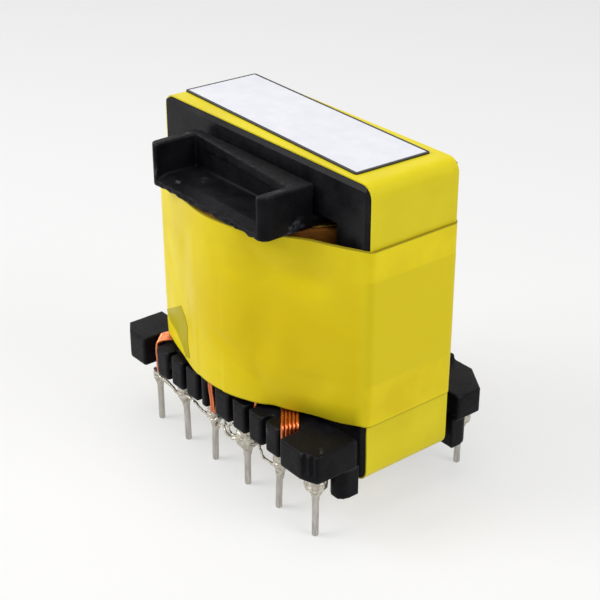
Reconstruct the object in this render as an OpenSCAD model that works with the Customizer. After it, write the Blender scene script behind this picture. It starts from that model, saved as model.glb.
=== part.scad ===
// Vertical board transformer on a round-post E core.
// The origin is the centre of the pin pattern on the seating plane, +Z is up and -Y is the front.

/* [Core] */
// Width of the ferrite core across its two legs
core_w = 29; // [28.6:0.1:30]
// Thickness of the ferrite core, front to back
core_t = 10.2; // [9.6:0.1:10.6]
// Height of the two halves put together
core_h = 28; // [27:0.5:30]
// Height of each yoke
yoke_h = 4.25; // [4:0.05:4.6]
// Diameter of the round centre post
post_d = 9.9; // [9:0.1:10]
// Clear width between the two legs
leg_gap = 21.3; // [20.8:0.1:21.8]
// Diameter of the relief ground into the inner face of the legs
relief_d = 21.9; // [21.8:0.1:22.4]
// Air gap in the centre post
air_gap = 0.4; // [0.1:0.1:1]
// Radius of the outer corners, seen from the front
core_corner = 1.1; // [0.6:0.1:1.6]
// Bevel on the edges of the front and back faces
core_bevel = 0.4; // [0.2:0.1:0.6]
// Height of the core above the seating plane
core_lift = 0.8; // [0.6:0.1:1.2]

/* [Bobbin] */
// Bore of the winding tube
tube_bore = 10.3; // [10.1:0.1:10.5]
// Outside diameter of the winding tube
tube_d = 12; // [11.6:0.1:12.2]
// Thickness of the lower flange
low_flange = 0.95; // [0.8:0.05:1.1]
// Thickness of the upper flange
top_flange = 0.85; // [0.7:0.05:0.95]
// Width of the lower flange in the core window
low_flange_w = 19.2; // [17:0.2:20]
// Width of the upper flange and its tray
tray_w = 16.6; // [15:0.1:17.6]
// Reach of the tray and the upper flange from the middle
tray_reach = 11; // [10.4:0.1:11.6]
// Height of the top of the tray walls above the seating plane
tray_top = 27.45; // [26.5:0.05:28]
// Thickness of the side walls of the tray
tray_wall = 1; // [0.8:0.05:1.3]

/* [Pin bars] */
// Distance from the middle to the inner face of a bar
bar_in = 6; // [5.9:0.1:6.4]
// Distance from the middle to the front face of a bar
bar_out = 10.6; // [10.4:0.1:11]
// Underside of the bars above the seating plane
bar_low = 3; // [2.6:0.1:3.4]
// Spacing of the lead slots
slot_pitch = 2.45; // [2.4:0.05:2.5]
// Width of a lead slot
slot_w = 0.6; // [0.5:0.05:0.8]
// Outer end of the ears
ear_out = 15; // [14.8:0.1:15.4]
// Size of the standoff feet along the bar
foot_w = 2; // [1.6:0.1:2.2]

/* [Pins] */
// Diameter of a pin
pin_d = 0.64; // [0.6:0.02:0.7]
// Length of a pin below the seating plane
pin_drop = 4; // [3:0.1:4.5]

/* [Windings] */
// Outside diameter of the finished winding, without its cover tape
winding_d = 20.5; // [20.1:0.1:20.7]
// Diameter of the lead wires
wire_d = 0.3; // [0.26:0.01:0.31]

/* [Tape and label] */
// Thickness of the band round the core
core_tape_t = 0.15; // [0.1:0.01:0.2]
// Width of the band round the core
core_tape_w = 9.6; // [9.2:0.1:10]
// Thickness of the wide wrap
wrap_t = 0.25; // [0.15:0.01:0.3]
// Lower edge of the wide wrap above the seating plane
wrap_low = 6.5; // [6.4:0.1:8]
// Upper edge of the wide wrap above the seating plane
wrap_high = 23.3; // [20:0.1:23.4]
// Length of the label
label_l = 25.6; // [20:0.2:25.8]
// Width of the label
label_w = 8; // [6:0.1:8.2]
// Turn of the label on the core
label_turn = -2.2; // [-2.4:0.1:2.4]

/* [Hidden] */

eps = 0.01;
core_mid = core_lift + core_h / 2;
core_top = core_lift + core_h;
window_low = core_lift + yoke_h;
window_high = core_top - yoke_h;

// The bobbin sits on the lower yoke and stops just short of the upper one
bobbin_play = 0.2;
bobbin_top = window_high - bobbin_play;
flange_top = window_low + low_flange;
flange_under = bobbin_top - top_flange;

// The winding leaves a gap over the lower flange for its leads
lead_room = 0.7;
winding_low = flange_top + lead_room;
winding_high = flange_under - 0.05;
cover_t = 0.5;
cover_r = winding_d / 2 + cover_t;
// Radii between the layers, from the tube outwards: copper, tape, copper, tape and so on
layer_r = [tube_d / 2, 7.15, 7.3, 8.5, 8.65, 9.75, 9.9, winding_d / 2, cover_r];
wrap_play = 0.05;
// The left leads push the wrap out here
bulge_place = [-8.6, -5];
bulge_r = 3.6;
label_place = [-0.75, 0.3];
label_t = 0.15;
wrap_r = cover_r + wrap_play;
wrap_half_w = core_w / 2 + core_tape_t;

// Tray
tray_back = core_t / 2 + 0.5;
tray_back_wall = 1;
tray_corner = 0.9;
tray_lip_drop = 0.4;
tray_lip_run = 1.1;
wedge_run = 14.5;
wedge_depth = 1.15;
wedge_h = 1;
stub_x = 0.25;
stub_y = 0.7;
stub_h = 1.6;

// Bars, ears and feet
bar_h = flange_top - bar_low;
slot_depth = 1.2;
deep_slot = 1.9;
wide_slot = 1.3;
wide_slot_x = -0.65;
post_end = 9.5;
post_round = 0.2;
// Each ear: its inner end, outer end and front, its cut corner in X and in Y,
// and how far its top lies below the bar's
left_ear = [11.4, ear_out + 0.3, bar_out + 0.15, 1.4, 0.9, 0];
right_ear = [10.35, ear_out - 0.15, bar_out + 0.5, 1.6, 0.6, 0.2];
back_right_ear = [9, ear_out, bar_out + 0.15, 3.1, 2, 0.5];
rib_x = 0.25;
rib_y = 1;
groove_w = 0.4;
groove_places = [0.4, 1.1];
groove_low = bar_low + 0.7;
foot_in = 12.7;
foot_back = bar_in - 0.35;
foot_deep = 2.1;
foot_shallow = 1;
foot_round = 0.9;

// Pins
pin_r = pin_d / 2;
pin_tip = 0.15;
pin_seat = 2.4;
pin_pitch = 5;
row_y = 8.75;
pin_count = 12;
row_pins = pin_count / 2;
row_mid = (row_pins + 1) / 2;

// Pins 1 to 6 stand at the front from left to right, 7 to 12 at the back from right to left
function pin_x(n) =
    pin_pitch * (n <= row_pins ? n - row_mid : pin_count + 1 - row_mid - n);
function pin_y(n) = n <= row_pins ? -row_y : row_y;

// Leads: they leave the underside of the winding, cross the bar and drop through a slot.
// A bundle is its number of leads, its first angle, first place in the slot and their steps.
lead_r = winding_d / 2 + 0.05;
lead_z = flange_top + 0.24;
lead_end = bar_low - 0.1;
left_bundle = [5, 210, [-10.95, -9.1], 2.25, [0.24, -0.26]];
right_bundle = [5, 317.9, [10.17, -8.92], -1.88, [-0.12, -0.33]];
back_right_bundle = [3, 304, [7.35, -9.6], -3, [0, -0.4]];
// A lead: its start angle, its place at the top of the slot and its place at the bottom
function bundle_leads(b) =
    [for (k = [0 : b[0] - 1]) [b[1] + k * b[3], b[2] + k * b[4], b[2] + k * b[4]]];
left_leads = bundle_leads(left_bundle);
right_leads = bundle_leads(right_bundle);
back_right_leads = bundle_leads(back_right_bundle);
middle_leads = [
    [263.6, [-1.05, -10.35], [-0.75, -10.38]], [265.7, [-0.7, -10.35], [-0.4, -10.38]],
    [283.8, [2.45, -9.75], [2.45, -9.75]], [298, [4.9, -9.6], [4.9, -9.6]]
];

// Solder: top radius and lower end of the cone on pins 1 to 6
collar_r = [0.6, 0.62, 0.6, 0.75, 0.6, 0.85];
collar_low = [1.9, 1.6, 1.5, 1.4, 1.1, 0.7];
tinned_d = 0.28;
tinned_z = 2.2;
// Wire ends that run from a slot to a pin: pin and place at the bottom of the slot
function tails_to(pin, leads) = [for (lead = leads) [pin, lead[2]]];
function part(list, from, to) = [for (k = [from : to]) list[k]];
front_tails = concat(
    tails_to(1, left_leads),
    tails_to(3, part(middle_leads, 0, 1)),
    tails_to(4, part(middle_leads, 2, 3)),
    tails_to(5, part(right_leads, 0, 1)),
    tails_to(6, part(right_leads, 2, 4))
);
back_tails = concat(tails_to(1, left_leads), tails_to(5, back_right_leads));

// Wire routes
function at(p, z) = [p.x, p.y, z];
// A lead comes straight down from the winding, runs level and bends into its slot
function lead_route(lead) =
    let (
        slot = lead[1],
        foot = lead[2],
        p = lead_r * [cos(lead[0]), sin(lead[0])],
        run = norm(slot - p),
        d = (slot - p) / run,
        short_way = [at(p, winding_low - 0.15), at((p + slot) / 2, lead_z), at(slot, lead_z - 0.6)],
        long_way = [
            at(p, winding_low - 0.12), at(p + 0.3 * d, lead_z + 0.02),
            at(p + 0.5 * run * d, lead_z), at(slot - 0.45 * d, lead_z),
            at(slot - 0.12 * d, lead_z - 0.14), at(slot, lead_z - 0.5)
        ]
    )
    concat(
        [at(p, winding_low)],
        run < 1 ? short_way : long_way,
        [at(foot, bar_low + 1), at(foot, lead_end)]
    );
function unit(v) = v / norm(v);
function last(list, back = 0) = list[len(list) - 1 - back];
// The end faces are square to the route's own first and last stretch
function tangent(route, path, i) =
    i == 0 ? unit(route[1] - route[0])
    : i == len(path) - 1 ? unit(last(route) - last(route, 1))
    : unit(unit(path[i + 1] - path[i]) + unit(path[i] - path[i - 1]));
function flat_to(u, t) = unit(u - (u * t) * t);

// A smooth curve through the route's points, with the end points kept
function curve_point(a, b, c, d, t) =
    0.5 * (2 * b + (c - a) * t + (2 * a - 5 * b + 4 * c - d) * t * t
        + (3 * b - a - 3 * c + d) * t * t * t);
function smooth(p, steps) =
    let (n = len(p) - 1)
    concat(
        [for (i = [0 : n - 1], k = [0 : steps - 1])
            curve_point(p[max(i - 1, 0)], p[i], p[i + 1], p[min(i + 2, n)], k / steps)],
        [p[n]]
    );

// One round wire swept along a route, closed at both ends
module wire(route, d = wire_d, steps = 2, sides = 8) {
    path = smooth(route, steps);
    n = len(path);
    first = flat_to([1, 0.2, 0.1], tangent(route, path, 0));
    ups = [for (i = 0, u = first; i < n;
        i = i + 1, u = i < n ? flat_to(u, tangent(route, path, i)) : u) u];
    rings = [for (i = [0 : n - 1], k = [0 : sides - 1])
        let (t = tangent(route, path, i), u = ups[i], v = cross(t, u), a = 360 * k / sides)
        path[i] + d / 2 * (cos(a) * u + sin(a) * v)];
    walls = [for (i = [0 : n - 2], k = [0 : sides - 1])
        let (j = (k + 1) % sides)
        [i * sides + k, (i + 1) * sides + k, (i + 1) * sides + j, i * sides + j]];
    low_cap = [for (k = [0 : sides - 1]) k];
    high_cap = [for (k = [sides - 1 : -1 : 0]) (n - 1) * sides + k];
    polyhedron(points = rings, faces = concat(walls, [low_cap, high_cap]), convexity = 6);
}

// Rectangle with true round corners
module round_rect(w, h, r) {
    square([w - 2 * r, h], center = true);
    square([w, h - 2 * r], center = true);
    for (x = [-1, 1], y = [-1, 1])
        translate([x * (w / 2 - r), y * (h / 2 - r)])
            circle(r = r, $fn = 32);
}

// Rectangle with its four corners cut off at 45 degrees
module cut_rect(w, h, c) {
    x = w / 2;
    y = h / 2;
    polygon([
        [c - x, -y], [x - c, -y], [x, c - y], [x, y - c],
        [x - c, y], [c - x, y], [-x, y - c], [-x, c - y]
    ]);
}

// The outside of both core halves: round corners from the front, bevels round both faces
module core_block() {
    translate([0, 0, core_mid])
        intersection() {
            rotate([90, 0, 0])
                linear_extrude(core_t, center = true)
                    round_rect(core_w, core_h, core_corner);
            linear_extrude(core_h, center = true)
                cut_rect(core_w, core_t, core_bevel);
            rotate([90, 0, 90])
                linear_extrude(core_w, center = true)
                    cut_rect(core_t, core_h, core_bevel);
        }
}

// Plan of the space between the legs
module window_plan() {
    square([leg_gap, core_t + 2], center = true);
    circle(d = relief_d, $fn = 96);
}

module core_lower() {
    color("#3a3c3e")
        difference() {
            core_block();
            difference() {
                translate([0, 0, window_low])
                    linear_extrude(core_h)
                        window_plan();
                cylinder(d = post_d, h = core_mid - air_gap / 2, $fn = 64);
            }
            translate([-core_w, -core_w, core_mid])
                cube([2 * core_w, 2 * core_w, core_h]);
        }
}

module core_upper() {
    color("#3a3c3e")
        translate([0, 0, 2 * core_mid])
            mirror([0, 0, 1])
                core_lower();
}

// Plan of one bar with its ears and slots, front at -Y
module bar_plan(left, right) {
    offset(r = post_round, $fn = 24)
        offset(delta = -post_round)
            difference() {
                union() {
                    translate([-left[0] - 1, -bar_out])
                        square([left[0] + right[0] + 2, bar_out - bar_in]);
                    ear_plan(right);
                    mirror([1, 0, 0])
                        ear_plan(left);
                }
                for (k = [-3, -2, -1, 1, 2, 3])
                    slot(k * slot_pitch, slot_w, k % 2 == 0 ? deep_slot : slot_depth);
                slot(wide_slot_x, wide_slot, slot_depth);
                end_slot(right);
                mirror([1, 0, 0])
                    end_slot(left);
            }
}

module slot(x, w, depth) {
    translate([x - w / 2, -2 * bar_out])
        square([w, bar_out + depth]);
}

// The slot between the last post and an ear, where the ear leaves room for one
module end_slot(ear) {
    if (ear[0] > post_end)
        slot((ear[0] + post_end) / 2, ear[0] - post_end, deep_slot);
}

// An ear stands a little proud of the bar and has its outer corner cut off
module ear_plan(ear) {
    polygon([
        [ear[0], -bar_in], [ear[1], -bar_in], [ear[1], ear[4] - ear[2]],
        [ear[1] - ear[3], -ear[2]], [ear[0], -ear[2]]
    ]);
}

// What is taken off the top of an ear, clear of the lower flange
module ear_drop(ear) {
    inner = max(ear[0], low_flange_w / 2);
    translate([inner, -ear[2] - 1, flange_top - ear[5]])
        cube([ear[1], ear[2] + 1, 1]);
}

// Standoff foot under an ear, its outer corners rounded
module foot(depth) {
    linear_extrude(bar_low + eps) {
        translate([foot_in + foot_w / 2, -foot_back - depth / 2])
            round_rect(foot_w, depth, min(foot_round, (foot_w - eps) / 2, (depth - eps) / 2));
        translate([foot_in, -foot_back - depth / 2])
            square([foot_w, depth / 2]);
    }
}

// The two keying grooves in the cut corner of the front right ear
module ear_grooves(ear) {
    translate([ear[1] - ear[3], -ear[2], groove_low])
        rotate([0, 0, atan2(ear[4], ear[3])])
            for (x = groove_places)
                translate([x - groove_w / 2, -groove_w, 0])
                    cube([groove_w, 1.5 * groove_w, bar_h]);
}

module pin_bar(left, right) {
    difference() {
        translate([0, 0, bar_low])
            linear_extrude(bar_h)
                bar_plan(left, right);
        ear_drop(right);
    }
    foot(foot_deep);
    mirror([1, 0, 0])
        foot(foot_shallow);
    // Side rib on the left ear
    translate([-left[1] - rib_x, left[4] - left[2], bar_low])
        cube([2 * rib_x, rib_y, bar_h / 2]);
}

// Tray at the front of the upper flange: side walls and back wall, open at the front
module tray() {
    inner = tray_w - 2 * tray_wall;
    translate([0, 0, flange_under])
        linear_extrude(tray_top - flange_under)
            difference() {
                intersection() {
                    round_rect(tray_w, 2 * tray_reach, tray_corner);
                    translate([-tray_w / 2, -tray_reach])
                        square([tray_w, tray_reach - tray_back]);
                }
                translate([-inner / 2, -tray_reach - 1])
                    square([inner, tray_reach + 1 - tray_back - tray_back_wall]);
            }
    // The rim of the back wall grows thicker to the right
    translate([inner / 2 + eps, -tray_back - tray_back_wall + eps, tray_top - wedge_h])
        linear_extrude(wedge_h)
            polygon([[0, 0], [-wedge_run, 0], [0, -wedge_depth]]);
    // Gate stub on the left wall
    translate([-tray_w / 2 - stub_x, -tray_reach + stub_y, bobbin_top + stub_y])
        cube([2 * stub_x, stub_y, stub_h]);
}

// The floor slopes down to its front edge between the side walls
module tray_lip() {
    inner = tray_w - 2 * tray_wall;
    translate([-inner / 2, -tray_reach, bobbin_top])
        rotate([90, 0, 90])
            linear_extrude(inner)
                polygon([
                    [-1, -tray_lip_drop], [0, -tray_lip_drop], [tray_lip_run, 0],
                    [tray_lip_run, 1], [-1, 1]
                ]);
}

module upper_flange() {
    translate([0, 0, flange_under])
        linear_extrude(top_flange)
            round_rect(tray_w, 2 * tray_reach, tray_corner);
}

module lower_flange() {
    translate([-low_flange_w / 2, -bar_in - 1, window_low])
        cube([low_flange_w, 2 * bar_in + 2, low_flange]);
}

module bobbin() {
    color("#17181a")
        difference() {
            union() {
                translate([0, 0, window_low])
                    cylinder(d = tube_d, h = bobbin_top - window_low, $fn = 96);
                lower_flange();
                difference() {
                    union() {
                        upper_flange();
                        tray();
                    }
                    tray_lip();
                }
                difference() {
                    pin_bar(left_ear, right_ear);
                    ear_grooves(right_ear);
                }
                mirror([0, 1, 0])
                    pin_bar(left_ear, back_right_ear);
            }
            translate([0, 0, window_low - 1])
                cylinder(d = tube_bore, h = bobbin_top - window_low + 2, $fn = 96);
            for (n = [1 : pin_count])
                pin_shank(n);
        }
}

// Eight-sided shank of a pin, pressed into the bar
module pin_shank(n) {
    translate([pin_x(n), pin_y(n), 0])
        cylinder(r = pin_r, h = bar_low + pin_seat, $fn = 8);
}

module pin(n) {
    color("#c9c6bd") {
        translate([pin_x(n), pin_y(n), -pin_drop]) {
            cylinder(r1 = pin_r - pin_tip, r2 = pin_r, h = pin_tip, $fn = 32);
            translate([0, 0, pin_tip])
                cylinder(r = pin_r, h = pin_drop - pin_tip, $fn = 32);
        }
        pin_shank(n);
    }
}

// Winding or insulation layer k, between two of the layer radii
module layer(k, c) {
    color(c)
        translate([0, 0, winding_low])
            difference() {
                cylinder(r = layer_r[k + 1], h = winding_high - winding_low, $fn = 96);
                translate([0, 0, -1])
                    cylinder(r = layer_r[k], h = winding_high - winding_low + 2, $fn = 96);
            }
}

// Plan of the wide wrap: tight round the legs, the winding and the left leads
module wrap_plan(grow) {
    hull() {
        square([2 * (wrap_half_w + grow), core_t], center = true);
        circle(r = wrap_r + grow, $fn = 128);
        translate(bulge_place)
            circle(r = bulge_r + grow, $fn = 48);
    }
}

module wrap_tape() {
    color("#e6d400")
        translate([0, 0, wrap_low])
            linear_extrude(wrap_high - wrap_low)
                difference() {
                    wrap_plan(wrap_t);
                    wrap_plan(0);
                }
}

// Band of tape round the outside of both core halves
module core_tape() {
    color("#eadb1e")
        translate([0, 0, core_mid])
            rotate([90, 0, 0])
                linear_extrude(core_tape_w, center = true)
                    difference() {
                        round_rect(core_w + 2 * core_tape_t, core_h + 2 * core_tape_t,
                            core_corner + core_tape_t);
                        round_rect(core_w, core_h, core_corner);
                    }
}

module label() {
    color("#f2f2f6")
        translate([label_place.x, label_place.y, core_top + core_tape_t])
            rotate([0, 0, label_turn])
                translate([-label_l / 2, -label_w / 2, 0])
                    cube([label_l, label_w, label_t]);
}

module wires(leads) {
    color("#b4541c")
        for (lead = leads)
            wire(lead_route(lead));
}

// Concave cone of solder between the underside of the bar and the pin
module collar(top_r, low) {
    steps = 6;
    low_r = pin_r + 0.04;
    curve = [for (k = [0 : steps])
        let (t = k / steps)
        [low_r + (top_r - low_r) * t * t, low + (bar_low - low) * t]];
    rotate_extrude($fn = 32)
        polygon(concat([[0, low]], curve, [[0, bar_low]]));
}

// Solder on a front pin, with the tinned wire ends that run into it
module front_solder(n, tails) {
    pin_at = [pin_x(n), pin_y(n)];
    difference() {
        union() {
            translate([pin_at.x, pin_at.y, 0])
                collar(collar_r[n - 1], collar_low[n - 1]);
            for (t = tails)
                if (t[0] == n)
                    tail(t[1], pin_at);
        }
        pin_shank(n);
    }
}

module tail(slot, pin_at) {
    d = unit(pin_at - slot);
    wire([
        at(slot, lead_end), at(slot, lead_end - 0.15),
        at((slot + pin_at) / 2, tinned_z + 0.05), at(pin_at - 0.2 * d, tinned_z)
    ], d = tinned_d, steps = 2, sides = 6);
}

// Pins 7 to 12 mirror pins 6 to 1
module solder(n) {
    color("#cfc9b6")
        if (n <= row_pins)
            front_solder(n, front_tails);
        else
            mirror([0, 1, 0])
                front_solder(pin_count + 1 - n, back_tails);
}

bobbin();
core_lower();
core_upper();
layer(0, "#b5602a");  // inner_primary_winding
layer(1, "#e8d94a");  // insulation_1
layer(2, "#c06a2c");  // secondary_winding
layer(3, "#e8d94a");  // insulation_2
layer(4, "#b5602a");  // outer_primary_winding
layer(5, "#e8d94a");  // insulation_3
layer(6, "#c06a2c");  // auxiliary_winding
layer(7, "#e6d400");  // winding_cover
wrap_tape();
core_tape();
label();
pin(1);  // pin_1
pin(2);  // pin_2
pin(3);  // pin_3
pin(4);  // pin_4
pin(5);  // pin_5
pin(6);  // pin_6
pin(7);  // pin_7
pin(8);  // pin_8
pin(9);  // pin_9
pin(10);  // pin_10
pin(11);  // pin_11
pin(12);  // pin_12
solder(1);  // solder_1
solder(2);  // solder_2
solder(3);  // solder_3
solder(4);  // solder_4
solder(5);  // solder_5
solder(6);  // solder_6
solder(7);  // solder_7
solder(8);  // solder_8
solder(9);  // solder_9
solder(10);  // solder_10
solder(11);  // solder_11
solder(12);  // solder_12
wires(left_leads);  // front_left_leads
wires(middle_leads);  // front_middle_leads
wires(right_leads);  // front_right_leads
mirror([0, 1, 0]) wires(left_leads);  // back_left_leads
mirror([0, 1, 0]) wires(back_right_leads);
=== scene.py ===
# %% [markdown]
# # A board transformer in Blender
# The part is a round-post ferrite core on a black bobbin. Yellow tape wraps the winding and binds
# the two core halves, and twelve tinned pins carry the wires down to a circuit board. The solids
# come from the CAD model and fix every size. This file gives them their finish and models the
# pieces whose look a plain solid can't carry: the tape, the moulding, the wires and the solder.

# %% Load the fixed frame
import math
import random

import bpy
from mathutils import Matrix, Vector, noise as waves
from mathutils.bvhtree import BVHTree


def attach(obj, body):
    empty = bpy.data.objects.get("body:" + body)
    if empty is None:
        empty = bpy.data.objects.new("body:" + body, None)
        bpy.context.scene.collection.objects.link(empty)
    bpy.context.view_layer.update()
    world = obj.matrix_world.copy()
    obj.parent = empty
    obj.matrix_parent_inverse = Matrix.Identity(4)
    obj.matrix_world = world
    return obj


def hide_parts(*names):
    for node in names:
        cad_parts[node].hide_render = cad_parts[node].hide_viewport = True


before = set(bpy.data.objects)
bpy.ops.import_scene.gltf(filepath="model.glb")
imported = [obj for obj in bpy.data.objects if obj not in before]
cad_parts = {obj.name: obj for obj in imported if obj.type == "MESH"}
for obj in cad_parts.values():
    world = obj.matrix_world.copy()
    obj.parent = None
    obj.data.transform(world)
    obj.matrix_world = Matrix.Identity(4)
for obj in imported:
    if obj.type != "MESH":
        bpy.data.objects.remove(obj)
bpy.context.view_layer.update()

MM = 0.001

# %% [markdown]
# ## Small helpers
# An operator acts on everything that is selected, and loading leaves the CAD nodes selected. So
# each step starts from an empty selection. A finished piece keeps its place in its mesh: its
# object sits at the origin, unturned and unscaled, as a CAD node's does.

# %% Selection and finishing helpers
def select_none():
    bpy.ops.object.select_all(action="DESELECT")


def select_only(*objects):
    select_none()
    for thing in objects:
        thing.select_set(True)
    bpy.context.view_layer.objects.active = objects[0]


def settle(piece):
    """Puts a piece's place, turn and scale into its mesh."""
    select_only(piece)
    bpy.ops.object.transform_apply(location=True, rotation=True, scale=True)


def apply_modifiers(piece):
    select_only(piece)
    for modifier in list(piece.modifiers):
        bpy.ops.object.modifier_apply(modifier=modifier.name)


def edit(piece, mode="FACE", select="SELECT"):
    """Opens a piece in edit mode with all or nothing of it picked."""
    select_only(piece)
    bpy.ops.object.mode_set(mode="EDIT")
    bpy.ops.mesh.select_mode(type=mode)
    bpy.ops.mesh.select_all(action=select)


def leave_edit():
    bpy.ops.object.mode_set(mode="OBJECT")


def as_mesh(piece):
    select_only(piece)
    bpy.ops.object.convert(target="MESH")
    return bpy.context.view_layer.objects.active


def join(name, pieces):
    select_only(*pieces)
    if len(pieces) > 1:
        bpy.ops.object.join()
    whole = bpy.context.view_layer.objects.active
    whole.name = whole.data.name = name
    settle(whole)
    return whole


def place(piece, nodes, slot, material, angle=35):
    """Lets a finished piece stand for its CAD nodes."""
    piece.data.materials.clear()
    piece.data.materials.append(material)
    select_only(piece)
    bpy.ops.object.shade_smooth_by_angle(angle=math.radians(angle))
    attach(piece, "root")
    if nodes:
        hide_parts(*nodes)
    print(piece.name, "has", len(piece.data.polygons), "faces")


def node_copy(node):
    """A merged copy of a CAD node, whose own mesh is loose triangles."""
    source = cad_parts[node]
    copy = source.copy()
    copy.data = source.data.copy()
    copy.data.materials.clear()
    for key in list(copy.keys()):
        del copy[key]
    copy.parent = None
    bpy.context.collection.objects.link(copy)
    edit(copy, "VERT")
    bpy.ops.mesh.remove_doubles(threshold=0.001 * MM)
    leave_edit()
    return copy


# %% [markdown]
# ## Finishes
# Each finish is a small set of nodes on Object coordinates. One helper starts a material and
# hands back its tree, a second one adds a noise at a real size in millimetres.

# %% Material helpers
def start_material(name, **constants):
    material = bpy.data.materials.new(name)
    material.use_nodes = True
    tree = material.node_tree
    shader = tree.nodes["Principled BSDF"]
    for socket, value in constants.items():
        shader.inputs[socket.replace("_", " ")].default_value = value
    return material, tree, shader


def coordinates(tree, turn=0.0, stretch=(1, 1, 1), shift=(0, 0, 0)):
    """Object coordinates in millimetres, turned about Z and stretched."""
    source = tree.nodes.new("ShaderNodeTexCoord")
    mapping = tree.nodes.new("ShaderNodeMapping")
    mapping.vector_type = "POINT"
    mapping.inputs["Location"].default_value = shift
    mapping.inputs["Rotation"].default_value = (0, 0, turn)
    mapping.inputs["Scale"].default_value = [s / MM for s in stretch]
    tree.links.new(source.outputs["Object"], mapping.inputs["Vector"])
    return mapping.outputs["Vector"]


def noise(tree, size, detail=3, rough=0.5, stretch=(1, 1, 1)):
    """Noise whose blobs are about size millimetres across."""
    node = tree.nodes.new("ShaderNodeTexNoise")
    node.inputs["Scale"].default_value = 1 / size
    node.inputs["Detail"].default_value = detail
    node.inputs["Roughness"].default_value = rough
    tree.links.new(coordinates(tree, stretch=stretch), node.inputs["Vector"])
    return node.outputs["Fac"]


def ramp(tree, value, stops):
    node = tree.nodes.new("ShaderNodeValToRGB")
    while len(node.color_ramp.elements) < len(stops):
        node.color_ramp.elements.new(0.5)
    for element, (position, colour) in zip(node.color_ramp.elements, stops):
        element.position = position
        element.color = (*colour, 1) if len(colour) == 3 else colour
    tree.links.new(value, node.inputs["Fac"])
    return node.outputs["Color"]


def spread(tree, value, low, high, start=0.3, end=0.7):
    """Maps a noise to a range of values, for roughness and masks."""
    node = tree.nodes.new("ShaderNodeMapRange")
    node.inputs["From Min"].default_value = start
    node.inputs["From Max"].default_value = end
    node.inputs["To Min"].default_value = low
    node.inputs["To Max"].default_value = high
    tree.links.new(value, node.inputs["Value"])
    return node.outputs["Result"]


def bump(tree, shader, layers):
    """Stacks bumps: each layer is a height, and its depth in millimetres."""
    normal = None
    for height, depth in layers:
        node = tree.nodes.new("ShaderNodeBump")
        node.inputs["Strength"].default_value = 1.0
        node.inputs["Distance"].default_value = depth * MM
        tree.links.new(height, node.inputs["Height"])
        if normal:
            tree.links.new(normal, node.inputs["Normal"])
        normal = node.outputs["Normal"]
    tree.links.new(normal, shader.inputs["Normal"])


def combine(tree, operation, first, second):
    """One value from two: their product, or the larger one."""
    node = tree.nodes.new("ShaderNodeMath")
    node.operation = operation
    node.use_clamp = True
    tree.links.new(first, node.inputs[0])
    tree.links.new(second, node.inputs[1])
    return node.outputs[0]


def mix_colour(tree, mask, first, second):
    """The first colour where the mask is 0, the second where it is 1."""
    node = tree.nodes.new("ShaderNodeMix")
    node.data_type = "RGBA"
    for socket, value in (("Factor", mask), ("A", first), ("B", second)):
        target = [s for s in node.inputs if s.name == socket and s.enabled][0]
        if isinstance(value, tuple):
            target.default_value = (*value, 1)
        else:
            tree.links.new(value, target)
    return [s for s in node.outputs if s.enabled][0]


# %% [markdown]
# Polyester tape is a clear film with yellow adhesive behind it: a smooth gloss over an even
# colour, with a faint haze. What lies under it shows through: over inner turns of tape it is
# deeper. Over the gap beside the winding, at the lower right of the front, the tape is painted
# darker: painted shade of the empty gap behind the film.

# %% Yellow tape
def between(tree, axis, low, high, soft):
    """1 where a coordinate in millimetres is between two limits, with soft edges."""
    split = tree.nodes.new("ShaderNodeSeparateXYZ")
    tree.links.new(coordinates(tree), split.inputs["Vector"])
    value = split.outputs[axis]
    rise = spread(tree, value, 0, 1, start=low - soft, end=low + soft)
    fall = spread(tree, value, 1, 0, start=high - soft, end=high + soft)
    return combine(tree, "MULTIPLY", rise, fall)


def tape_finish(name, light, deep, zones=()):
    """A tape colour, and other tones in the zones: where something shows through, and painted
    shade.
    """
    material, tree, shader = start_material(
        name, IOR=1.5, Coat_Weight=0.04, Coat_Roughness=0.12, Specular_IOR_Level=0.09)
    colour = ramp(tree, noise(tree, 6.0, detail=4), [(0.32, deep), (0.68, light)])
    for limits, tone in zones:
        mask = None
        for axis, low, high, soft in limits:
            part = between(tree, axis, low, high, soft)
            mask = combine(tree, "MULTIPLY", mask, part) if mask else part
        colour = mix_colour(tree, mask, colour, tone)
    tree.links.new(colour, shader.inputs["Base Color"])
    tree.links.new(spread(tree, noise(tree, 2.5), 0.32, 0.42), shader.inputs["Roughness"])
    bump(tree, shader, [
        (noise(tree, 1.6, detail=3), 0.012),
        (noise(tree, 0.12, detail=2), 0.0012),
    ])
    return material


# The inner turns end at these heights under the wide wrap
INNER_LOW, INNER_HIGH = 10.6, 20.5

# Each zone: its limits along some axes (low, high, softness), and the tone that shows there
INNER = ("Z", INNER_LOW, INNER_HIGH, 0.15)
FRONT = ("Y", -12, -5.3, 0.2)
DOUBLED = (0.72, 0.58, 0.010)
WRAP_ZONES = [
    ([INNER, ("X", 14.4, 16, 0.3)], DOUBLED),
    ([INNER, ("X", -16, -14.4, 0.3)], DOUBLED),
    ([("X", -3, 13.5, 5), FRONT, ("Z", 8, 19, 4)], (0.72, 0.54, 0.003)),
    # Darker at the lower right of the front: painted shade of the empty gap behind the film
    ([("Z", 0, 7.6, 0.8), ("X", 7.5, 16, 1.5), FRONT], (0.50, 0.41, 0.008)),
    ([("Z", 23.2, 24, 0.03)], (0.34, 0.27, 0.01)),
    ([("Z", 6, 6.6, 0.03)], (0.45, 0.37, 0.01)),
]
WRAP_YELLOW = tape_finish(
    "wrap_yellow", (0.84, 0.69, 0.012), (0.72, 0.56, 0.008), WRAP_ZONES)
BAND_YELLOW = tape_finish("band_yellow", (0.76, 0.64, 0.018), (0.68, 0.56, 0.014))
FOLD_YELLOW = tape_finish("fold_yellow", (0.50, 0.42, 0.006), (0.38, 0.31, 0.004))
print("tape finishes:", WRAP_YELLOW.name, BAND_YELLOW.name, FOLD_YELLOW.name)

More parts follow.
